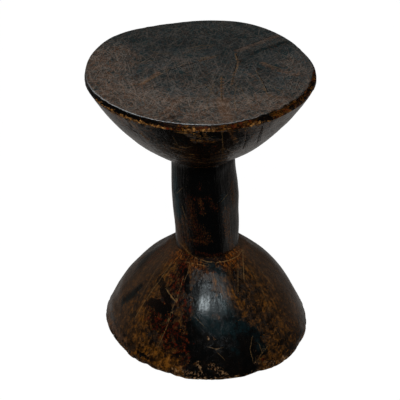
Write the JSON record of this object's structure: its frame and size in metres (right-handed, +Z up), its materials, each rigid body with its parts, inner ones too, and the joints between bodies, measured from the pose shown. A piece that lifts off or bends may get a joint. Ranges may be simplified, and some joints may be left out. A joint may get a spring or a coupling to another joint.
{
  "type": "carved wooden stool",
  "caption": "Low hand-carved wooden stool: a round seat on a bowl-shaped capital, a plain round stem and a domed foot, cut from one block of dark oiled wood.",
  "frame": {"origin": "on the floor, under the middle of the stool's box", "axes": "+Z up along the stem, -Y towards the front, the side that the picture shows, and +X to the right"},
  "size_m": [0.257, 0.255, 0.34],
  "materials": {
    "dark_oiled_wood": "dark oiled and smoke-blackened hardwood, worn to a soft shine, with raw brown wood showing at the chipped rim and foot"
  },
  "bodies": {
    "root": {"stool": "dark_oiled_wood"}
  },
  "joints": []
}
